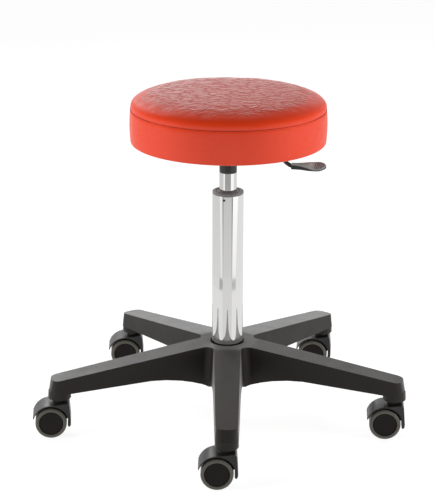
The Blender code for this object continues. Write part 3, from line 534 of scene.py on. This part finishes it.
def grip_plastic():
    """Moulded grip, dark, with painted light: its upward face is painted pale, as if lit from above."""
    pale, dark = (0.41, 0.52, 0.53), (0.034, 0.037, 0.036)
    recipe = Recipe("grip_plastic", dark, 0.55)
    recipe.socket("Specular IOR Level", 0.2)
    # Painted light: faces that look up are pale, faces that look down are dark.
    recipe.colours(recipe.facing_up(0.30, 0.70), (0.0, dark), (1.0, pale))
    recipe.bump(recipe.noise(0.7 * MM, 2.0), 0.5, 0.04 * MM)
    return recipe.material


def plated_steel():
    recipe = Recipe("plated_steel", (0.50, 0.50, 0.51), 0.3, 1.0)
    recipe.drive("Roughness", recipe.ramp(recipe.noise(0.004, 4.0), 0.3, 0.7, 0.22, 0.42))
    return recipe.material


def bearing_bronze():
    recipe = Recipe("bearing_bronze", (0.45, 0.30, 0.13), 0.4, 1.0)
    recipe.bump(recipe.noise(0.8 * MM, 2.0), 0.3, 0.05 * MM)
    return recipe.material


def plywood():
    pale, dark = (0.58, 0.42, 0.25), (0.40, 0.26, 0.13)
    recipe = Recipe("plywood", pale, 0.65)
    recipe.colours(recipe.noise(0.012, 5.0, (0.12, 1.0, 1.0), 1.2), (0.35, dark), (0.65, pale))
    recipe.bump(recipe.noise(1.5 * MM, 3.0, (0.1, 1, 1)), 0.4, 0.15 * MM)
    return recipe.material


def foam():
    recipe = Recipe("foam", (0.80, 0.74, 0.55), 0.95)
    recipe.bump(recipe.cells(1.2 * MM), 0.8, 0.5 * MM)
    return recipe.material


def thread():
    recipe = Recipe("seam_thread", (0.36, 0.022, 0.006), 0.6)
    recipe.bump(recipe.noise(0.3 * MM, 1.0), 0.5, 0.05 * MM)
    return recipe.material


MATERIALS = {}


def make_materials():
    MATERIALS.update({
        "leatherette": leatherette(),
        "chrome": chrome(),
        "base_nylon": moulded(
            "base_nylon", (0.016, 0.0130, 0.0100), 0.42, 0.9 * MM, 0.05 * MM, 0.18, 0.30, 0.5),
        "hood_plastic": moulded("hood_plastic", (0.012, 0.0110, 0.0105), 0.34, 0.7 * MM, 0.03 * MM, 0.1),
        "wheel_plastic": moulded(
            "wheel_plastic", (0.0085, 0.0060, 0.0045), 0.50, 0.8 * MM, 0.04 * MM, 0.12, 0.22),
        "tread_rubber": moulded("tread_rubber", (0.092, 0.088, 0.070), 0.38, 0.8 * MM, 0.03 * MM, 0.1),
        "collar_plastic": moulded("collar_plastic", (0.160, 0.158, 0.155), 0.38, 0.7 * MM, 0.05 * MM, 0.1),
        "grip_plastic": grip_plastic(),
        "black_paint": moulded("black_paint", (0.020, 0.020, 0.020), 0.26, 0.6 * MM, 0.04 * MM, 0.08),
        "black_rubber": moulded("black_rubber", (0.014, 0.014, 0.014), 0.75, 0.8 * MM, 0.08 * MM, 0.1),
        "steel": plated_steel(),
        "bronze": bearing_bronze(),
        "plywood": plywood(),
        "foam": foam(),
        "thread": thread(),
    })


def dress_cad_nodes():
    """Give every CAD node the finish of its material slot."""
    for part in frame["record"]["subparts"]:
        mesh = NODES[part["node"]].data
        mesh.materials.clear()
        mesh.materials.append(MATERIALS[part["material_slot"]])


def settle(piece, body, slot, *replaced):
    """Give a piece its finish, its body and the CAD nodes that it stands for."""
    piece.data.materials.clear()
    piece.data.materials.append(MATERIALS[slot])
    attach(piece, body)
    if replaced:
        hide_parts(*replaced)


# ---------------------------------------------------------------- column and gas lift
COLUMN_RADIUS = 0.0250
CYLINDER_RADIUS = 0.0140
WALL = 0.0015
SNAP_ANGLE = math.radians(-104.0)
SNAP_Z = 0.3713
SNAP_RADIUS = 0.0019
DRILL_REACH = 0.004         # how far the drill goes to each side of the tube's outer surface
BUTTON_PLAY = 0.0001
BUTTON_RISE = 0.0005        # how far the snap button stands out of the tube
ROD_HOLE = 0.0041           # radius of the rod's hole in the column's foot
COLUMN_FOOT = 0.003         # thickness of that foot


def ends(node):
    low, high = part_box(node)
    return low.z, high.z


def snap_pin(name, radius, inner, outer):
    """Round pin at the column's snap hole, between two distances from the axis."""
    way = Vector((math.cos(SNAP_ANGLE), math.sin(SNAP_ANGLE), 0.0))
    place = (Matrix.Translation(COLUMN_AXIS + way * (inner + outer) / 2 + Vector((0, 0, SNAP_Z)))
             @ way.to_track_quat("Z", "Y").to_matrix().to_4x4())
    return round_bar(name, radius, outer - inner, place, 32)


def make_column():
    """Chromed tube; its ring of points near each end keeps the long wall's smooth normals level."""
    low, high = ends("outer_column")
    inner = COLUMN_RADIUS - WALL
    column = turned_piece("column_tube", softened([
        (inner, high, 0.0), (COLUMN_RADIUS, high, 0.0004), (COLUMN_RADIUS, high - 0.0012, 0.0),
        (COLUMN_RADIUS, low + COLUMN_FOOT, 0.0), (COLUMN_RADIUS, low, 0.0010), (ROD_HOLE, low, 0.0),
        (ROD_HOLE, low + COLUMN_FOOT, 0.0), (inner, low + COLUMN_FOOT, 0.0)]), 128)
    drill = snap_pin("drill", SNAP_RADIUS, COLUMN_RADIUS - DRILL_REACH, COLUMN_RADIUS + DRILL_REACH)
    carve(column, (drill, "DIFFERENCE"))
    settle(column, "base", "chrome", "outer_column")
    button = snap_pin(
        "snap_button", SNAP_RADIUS - BUTTON_PLAY, inner + BUTTON_PLAY, COLUMN_RADIUS + BUTTON_RISE)
    settle(button, "base", "black_rubber")


def make_lift():
    """Collar, cylinder and clamp sleeve; the cylinder has the same rings near its ends as the column."""
    low, high = ends("column_collar")
    collar = turned_piece("collar_ring", softened([
        (CYLINDER_RADIUS + 0.0003, high, 0.0003), (0.0172, high, 0.0003), (0.0179, high - 0.0013, 0.0002),
        (0.0197, high - 0.0013, 0.0002), (0.0204, high, 0.0003), (COLUMN_RADIUS, high, 0.0012),
        (COLUMN_RADIUS, low, 0.0003), (CYLINDER_RADIUS + 0.0003, low, 0.0)]))
    settle(collar, "base", "collar_plastic", "column_collar")
    low, high = ends("gas_cylinder")
    sleeve_low, sleeve_high = ends("taper_sleeve")
    taper = CYLINDER_RADIUS - 0.0012
    cylinder = turned_piece("polished_cylinder", softened([
        (0.0040, high, 0.0), (taper, high, 0.0005), (taper, sleeve_low - 0.0003, 0.0),
        (CYLINDER_RADIUS, sleeve_low - 0.0003, 0.0003), (CYLINDER_RADIUS, sleeve_low - 0.0015, 0.0),
        (CYLINDER_RADIUS, low + 0.0020, 0.0), (CYLINDER_RADIUS, low, 0.0008),
        (CYLINDER_RADIUS - WALL - 0.0008, low, 0.0), (CYLINDER_RADIUS - WALL - 0.0008, low + 0.0012, 0.0),
        (CYLINDER_RADIUS - WALL, low + 0.0012, 0.0), (CYLINDER_RADIUS - WALL, sleeve_low - 0.005, 0.0),
        (taper - WALL, sleeve_low - 0.003, 0.0), (taper - WALL, high - 0.003, 0.0),
        (0.0040, high - 0.003, 0.0)]), 128)
    settle(cylinder, "seat", "chrome", "gas_cylinder")
    sleeve = turned_piece("clamp_sleeve", softened([
        (taper + 0.0003, sleeve_high, 0.0), (CYLINDER_RADIUS, sleeve_high, 0.0004),
        (CYLINDER_RADIUS, sleeve_low, 0.0004), (taper + 0.0003, sleeve_low, 0.0)]))
    settle(sleeve, "seat", "black_paint", "taper_sleeve")


# ---------------------------------------------------------------- castors
AXLE_BACK = 0.0143
WHEEL_RADIUS = 0.0250


def castor_place(castor):
    """From a castor's own axes (stem at the origin, axle behind it on -X) to the frame's."""
    stem, axle = middle(f"castor_{castor}_stem"), middle(f"castor_{castor}_axle")
    ahead = stem - axle
    return (Matrix.Translation(Vector((stem.x, stem.y, 0.0)))
            @ Matrix.Rotation(math.atan2(ahead.y, ahead.x), 4, "Z"))


def make_castors():
    tyre_profile = softened([
        (0.0194, 0.0222, 0.0004), (0.0204, 0.0225, 0.0004), (0.0228, 0.0225, 0.0008),
        (WHEEL_RADIUS, 0.0208, 0.0016), (WHEEL_RADIUS, 0.0078, 0.0010), (0.0194, 0.0078, 0.0)])
    disc_profile = softened([
        (0.0, 0.0212, 0.0), (0.0160, 0.0210, 0.0010), (0.0180, 0.0213, 0.0006), (0.0191, 0.0207, 0.0003),
        (0.0191, 0.0078, 0.0),
        (0.0041, 0.0078, 0.0), (0.0041, 0.0181, 0.0), (0.0, 0.0181, 0.0)])
    for castor in CASTORS:
        place = castor_place(castor)
        for side, turn in zip(SIDES, (0.0, math.pi)):
            on_axle = (place @ Matrix.Translation((-AXLE_BACK, 0, WHEEL_RADIUS))
                       @ Matrix.Rotation(turn, 4, "Z") @ Matrix.Rotation(math.pi / 2, 4, "X"))
            for kind, profile, slot in (("tread", tyre_profile, "tread_rubber"),
                                        ("wheel", disc_profile, "wheel_plastic")):
                bm = spun(profile, 80)
                bm.transform(on_axle)
                piece = new_piece(f"castor_{castor}_{kind}_{side}_fine", bm, 40.0)
                settle(piece, f"castor_{castor}_wheel_{side}", slot, f"castor_{castor}_{kind}_{side}")
        hood = refined(f"castor_{castor}_hood", f"castor_{castor}_hood_fine", 0.0006)
        settle(hood, f"castor_{castor}", "hood_plastic", f"castor_{castor}_hood")
        low, high = ends(f"castor_{castor}_stem")
        flange = (0.0595, 0.0609)
        bm = spun(softened([
            (0.0, high, 0.0), (0.0055, high, 0.0010), (0.0055, flange[1], 0.0),
            (0.0075, flange[1], 0.0004), (0.0075, flange[0], 0.0004), (0.0040, flange[0], 0.0),
            (0.0040, low, 0.0005), (0.0, low, 0.0)]), 64)
        bm.transform(place)
        settle(new_piece(f"castor_{castor}_stem_fine", bm, 40.0), f"castor_{castor}", "steel",
               f"castor_{castor}_stem")


# ---------------------------------------------------------------- lever
LEVER_DIRECTION = math.radians(-14.0)
LEVER_WAY = Vector((math.cos(LEVER_DIRECTION), math.sin(LEVER_DIRECTION), 0.0))
LEVER_ACROSS = Vector((math.sin(LEVER_DIRECTION), -math.cos(LEVER_DIRECTION), 0.0))
LEVER_Z = 0.4530
LEVER_RADIUS = 0.0033
LEVER_PIVOT = 0.0340
BARREL_RADIUS, BARREL_BORE, BARREL_LENGTH = 0.0055, 0.0026, 0.010
GRIP_Z = 0.4284
GRIP_SLOPE = 0.045
GRIP_START, GRIP_END = 0.1025, 0.1575
GRIP_CORE_END = 0.1260
GRIP_NECK, GRIP_BROAD = 0.0058, 0.0140
GRIP_THICK, GRIP_THIN, GRIP_TIP = 0.0049, 0.0030, 0.0019
GRIP_TILT = math.radians(15.0)


def on_lever(distance, z, across=0.0):
    return COLUMN_AXIS + LEVER_WAY * distance + LEVER_ACROSS * across + Vector((0, 0, z))


def grip_z(distance):
    return GRIP_Z + GRIP_SLOPE * (distance - GRIP_START)


def lever_route():
    """Smooth (distance, height) route of the lever's rod."""
    steps = 5
    stations = [(-0.0055, LEVER_Z), (0.034, LEVER_Z), (0.060, LEVER_Z), (0.069, LEVER_Z),
                (0.077, LEVER_Z - 0.0022), (0.085, LEVER_Z - 0.0098), (0.092, LEVER_Z - 0.0178),
                (0.097, GRIP_Z + 0.0028), (0.102, GRIP_Z + 0.0006), (0.107, grip_z(0.107)),
                (GRIP_CORE_END, grip_z(GRIP_CORE_END))]
    points = [Vector(station) for station in stations]
    padded = [points[0]] + points + [points[-1]]
    route = []
    for a, b, c, d in zip(padded, padded[1:], padded[2:], padded[3:]):
        for step in range(steps):
            t = step / steps
            route.append(0.5 * (2 * b + (c - a) * t + (2 * a - 5 * b + 4 * c - d) * t ** 2
                                + (3 * b - a - 3 * c + d) * t ** 3))
    return route + [points[-1]]


def make_lever_rod():
    route = lever_route()
    sides = 28
    bm = bmesh.new()
    rings = []
    for i, point in enumerate(route):
        along = (route[min(i + 1, len(route) - 1)] - route[max(i - 1, 0)]).normalized()
        up = Vector((-along.y, along.x))
        ring = []
        for j in range(sides):
            angle = math.tau * j / sides
            offset = up * math.sin(angle) * LEVER_RADIUS
            ring.append(bm.verts.new(on_lever(point.x + offset.x, point.y + offset.y,
                                              math.cos(angle) * LEVER_RADIUS)))
        rings.append(ring)
    join_rings(bm, rings)
    rod = new_piece("bent_rod", bm, 40.0)
    pivot = (Matrix.Translation(on_lever(LEVER_PIVOT, LEVER_Z))
             @ LEVER_ACROSS.to_track_quat("Z", "Y").to_matrix().to_4x4())
    carve(rod, (round_bar("barrel", BARREL_RADIUS, BARREL_LENGTH, pivot, 40), "UNION"),
          (round_bar("barrel_hole", BARREL_BORE, 2 * BARREL_LENGTH, pivot, 40), "DIFFERENCE"))
    settle(rod, "lever", "black_paint", "lever_rod")


def grip_section(t):
    """Distance, half width, half thickness and share of the tilt, for t from 0 to 2.

    t runs from 0 to 1 up to the broad end and from 1 to 2 round it.
    """
    tip_centre = GRIP_END - GRIP_BROAD
    if t <= 1.0:
        ease = t * t * (3.0 - 2.0 * t)
        thinning = max(0.0, t - 0.6) / 0.4
        return (GRIP_START + (tip_centre - GRIP_START) * t, GRIP_NECK + (GRIP_BROAD - GRIP_NECK) * ease,
                GRIP_THICK + (GRIP_THIN - GRIP_THICK) * thinning * thinning * (3.0 - 2.0 * thinning), ease)
    turn = (t - 1.0) * math.pi / 2
    return (tip_centre + GRIP_BROAD * math.sin(turn), GRIP_BROAD * math.cos(turn),
            GRIP_TIP + (GRIP_THIN - GRIP_TIP) * math.cos(turn), 1.0)


DISH_DEPTH = 0.0007


def thumb_dish(distance, across):
    """Height of the shallow dish in the top of the grip's broad end."""
    out = math.hypot(distance - GRIP_END + GRIP_BROAD, across) / GRIP_BROAD
    return -DISH_DEPTH * min(1.0, max(0.0, (0.84 - out) / 0.10))


def on_grip(distance, across, height, tilt):
    """Point at a place in the grip's own tilted section."""
    return on_lever(distance, grip_z(distance) + height * math.cos(tilt) - across * math.sin(tilt),
                    across * math.cos(tilt) + height * math.sin(tilt))


def squared(wave, power):
    """A sine or cosine bent towards the outline of a rounded box."""
    return math.copysign(abs(wave) ** power, wave)


def make_grip():
    sides = 64
    stops = ([0.0, 0.012] + [i / 40 for i in range(1, 41)]
             + [1.0 + math.sin(i / 26 * math.pi / 2) for i in range(1, 26)] + [1.988])
    bm = bmesh.new()
    rings = []
    for t in stops:
        distance, half_width, half_thickness, tilted = grip_section(t)
        shrink = 0.93 if t == 0.0 else 1.0
        squareness, tilt = 0.7 + 0.2 * tilted, GRIP_TILT * tilted
        ring = []
        for j in range(sides):
            angle = math.tau * j / sides
            across = squared(math.cos(angle), squareness) * half_width * shrink
            height = squared(math.sin(angle), squareness) * half_thickness * shrink
            if height > 0.0:
                height += thumb_dish(distance, across) * min(1.0, 2.0 * height / half_thickness)
            ring.append(bm.verts.new(on_grip(distance, across, height, tilt)))
        rings.append(ring)
    socket = LEVER_RADIUS + 0.0002
    for distance, lift in ((GRIP_CORE_END + 0.0003, 0.0), (0.107, 0.0), (GRIP_START, 0.0004)):
        rings.insert(0, [bm.verts.new(on_lever(
            distance, grip_z(distance) + lift + math.sin(math.tau * j / sides) * socket,
            math.cos(math.tau * j / sides) * socket)) for j in range(sides)])
    join_rings(bm, rings[2::-1] + rings[3:])
    settle(new_piece("thumb_grip", bm, 45.0), "lever", "grip_plastic", "lever_grip")


def make_grip_pips():
    """Rows of small raised pips that keep a thumb from slipping."""
    radius, rise, sunk, sides = 0.00095, 0.0007, 0.0006, 10
    centre = GRIP_END - GRIP_BROAD
    bm = bmesh.new()
    for row in range(-3, 4):
        for column in range(-3, 4):
            along, across = row * 0.0031, (column + 0.5 * (row % 2)) * 0.0033
            if math.hypot(along, across) > 0.0100:
                continue
            distance = centre + along
            bed = GRIP_THIN * max(0.0, 1.0 - abs(across / GRIP_BROAD) ** 2.2) ** 0.45 - DISH_DEPTH
            rings = []
            for share in (1.0, 0.92, 0.72, 0.40):
                dome = 0.0 if share == 1.0 else math.sqrt(1 - share * share)
                height = bed - sunk + (rise + sunk) * dome
                rings.append([bm.verts.new(on_grip(
                    distance + radius * share * math.cos(math.tau * j / sides),
                    across + radius * share * math.sin(math.tau * j / sides), height, GRIP_TILT))
                    for j in range(sides)])
            join_rings(bm, rings)
    settle(new_piece("grip_pips", bm, 60.0), "lever", "black_rubber")


# ---------------------------------------------------------------- base
def make_base():
    base = refined("star_base", "moulded_star", 0.0009)
    settle(base, "base", "base_nylon", "star_base")


# ---------------------------------------------------------------- seat
SEAM_RADIUS, SEAM_Z = 0.1543, 0.5153
SEAT_BOTTOM, SEAT_TOP = 0.4620, 0.5425
COVER = 0.0015
BULGE = 0.0012
RIM_POWER = 3.2
LIP_RADIUS = 0.1250
SETTLE_LIMIT = 0.0006       # the most that the simulated filling may move the cover


def cover_profile(crown, side, under):
    """Outer half section of the cover, crown to lip, as (radius, height)."""
    points = []
    for i in range(crown + 1):
        turn = math.pi / 2 * (i / crown) ** 0.8
        flat = 2.0 / RIM_POWER
        points.append((SEAM_RADIUS * math.sin(turn) ** flat,
                       SEAM_Z + (SEAT_TOP - SEAM_Z) * max(0.0, math.cos(turn)) ** flat))
    corner = 0.003
    for i in range(1, side + 1):
        t = i / side
        points.append((SEAM_RADIUS + BULGE * math.sin(math.pi * t),
                       SEAM_Z + (SEAT_BOTTOM + corner - SEAM_Z) * t))
    for i in range(1, 5):
        turn = math.pi / 2 * i / 4
        points.append((SEAM_RADIUS - corner * (1 - math.cos(turn)),
                       SEAT_BOTTOM + corner * (1 - math.sin(turn))))
    for i in range(1, under + 1):
        points.append((SEAM_RADIUS - corner + (LIP_RADIUS - SEAM_RADIUS + corner) * i / under, SEAT_BOTTOM))
    return points


def stuffed_shape():
    """Cloth simulation of the stuffed cover: pairs of where its points start and where they settle."""
    closed = cover_profile(14, 6, 2) + [(0.0, SEAT_BOTTOM)]
    sim = turned_piece("stuffed_cover", closed, 72)
    remesh = sim.modifiers.new("remesh", "REMESH")
    remesh.mode = "VOXEL"
    remesh.voxel_size = 0.006
    applied(sim)
    start = [vert.co.copy() for vert in sim.data.vertices]
    held = sim.vertex_groups.new(name="held")
    for i, place in enumerate(start):
        if place.z < SEAT_BOTTOM + 0.005:
            held.add([i], 1.0, "REPLACE")
        elif abs(place.z - SEAM_Z) < 0.003 and (place - COLUMN_AXIS).xy.length > SEAM_RADIUS - 0.004:
            held.add([i], 0.85, "REPLACE")
    cloth = sim.modifiers.new("cloth", "CLOTH")
    cloth.settings.quality = 5
    cloth.settings.mass = 0.3
    cloth.settings.tension_stiffness = 30.0
    cloth.settings.compression_stiffness = 30.0
    cloth.settings.shear_stiffness = 12.0
    cloth.settings.bending_stiffness = 2.0
    cloth.settings.use_pressure = True
    cloth.settings.uniform_pressure_force = 4.0
    cloth.settings.vertex_group_mass = "held"
    cloth.settings.effector_weights.gravity = 0.0
    cloth.collision_settings.use_collision = False
    scene = bpy.context.scene
    for step in range(1, 21):
        scene.frame_set(step)
    graph = bpy.context.evaluated_depsgraph_get()
    settled = [vert.co.copy() for vert in sim.evaluated_get(graph).data.vertices]
    bpy.data.objects.remove(sim)
    scene.frame_set(1)
    return start, settled


def make_upholstery():
    start, settled = stuffed_shape()
    tree = kdtree.KDTree(len(start))
    for i, place in enumerate(start):
        tree.insert(place, i)
    tree.balance()
    outer = cover_profile(60, 26, 10)
    inner = [(max(0.0, r - COVER), z - COVER) for r, z in cover_profile(14, 6, 3)][::-1]
    inner = [(r, max(z, SEAT_BOTTOM + COVER)) for r, z in inner]
    steps = 300
    bm = spun(outer + inner, steps)
    bm.transform(Matrix.Translation(COLUMN_AXIS))
    skin = 1 + (len(outer) - 1) * steps
    for index, vert in enumerate(bm.verts):
        if index >= skin:
            break
        shift, total = Vector(), 0.0
        for place, i, distance in tree.find_n(vert.co, 8):
            weight = 1.0 / (distance + 0.001)
            shift += (settled[i] - start[i]) * weight
            total += weight
        shift /= total
        if shift.length > SETTLE_LIMIT:
            shift *= SETTLE_LIMIT / shift.length
        radial = (vert.co - COLUMN_AXIS).to_2d()
        turn = math.atan2(radial.y, radial.x)
        gathered = 0.75 + 0.25 * math.sin(turn * 58.0 + 1.3 * math.sin(turn * 7.0))
        away = vert.co.z - SEAM_Z
        at_rim = radial.length > SEAM_RADIUS - 0.012
        groove = 0.0008 * math.exp(-(away / 0.0009) ** 2) * at_rim
        pucker = 0.00025 * math.exp(-abs(away) / 0.0040) * gathered * at_rim
        inward = radial.normalized() * (groove + pucker) if radial.length > 1e-5 else radial
        pleat = 0.0
        if vert.co.z < SEAT_BOTTOM + 0.0005 and radial.length < SEAM_RADIUS - 0.006:
            fade = min(1.0, (SEAM_RADIUS - 0.006 - radial.length) / 0.01)
            pleat = 0.0005 * abs(math.sin(turn * 36.0)) * fade
        vert.co += shift - Vector((inward.x, inward.y, pleat))
    cover = new_piece("upholstery", bm, 60.0)
    settle(cover, "seat", "leatherette", "seat_cover")


def make_seam_thread():
    """Dark thread line that closes the seam between the top panel and the side band."""
    radius, thick, sides, stitches, steps = SEAM_RADIUS - 0.0004, 0.00045, 8, 260, 8
    bm = bmesh.new()
    rings = []
    for i in range(stitches * steps):
        turn = math.tau * i / (stitches * steps)
        out = Vector((math.cos(turn), math.sin(turn), 0.0))
        sink = 0.0005 * abs(math.cos(math.pi * i / steps)) ** 3
        centre = COLUMN_AXIS + out * (radius - sink) + Vector((0, 0, SEAM_Z))
        rings.append([bm.verts.new(centre + out * thick * math.cos(math.tau * j / sides)
                                   + Vector((0, 0, thick * math.sin(math.tau * j / sides))))
                      for j in range(sides)])
    join_rings(bm, rings, closed=True)
    seam = new_piece("seam_thread", bm, 60.0)
    seam.data.materials.append(MATERIALS["thread"])
    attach(seam, "seat")


# ---------------------------------------------------------------- main
make_camera()
make_lights()
make_floor()
make_reflection_cards()
make_materials()
dress_cad_nodes()
make_base()
make_column()
make_lift()
make_castors()
make_lever_rod()
make_grip()
make_grip_pips()
make_upholstery()
make_seam_thread()
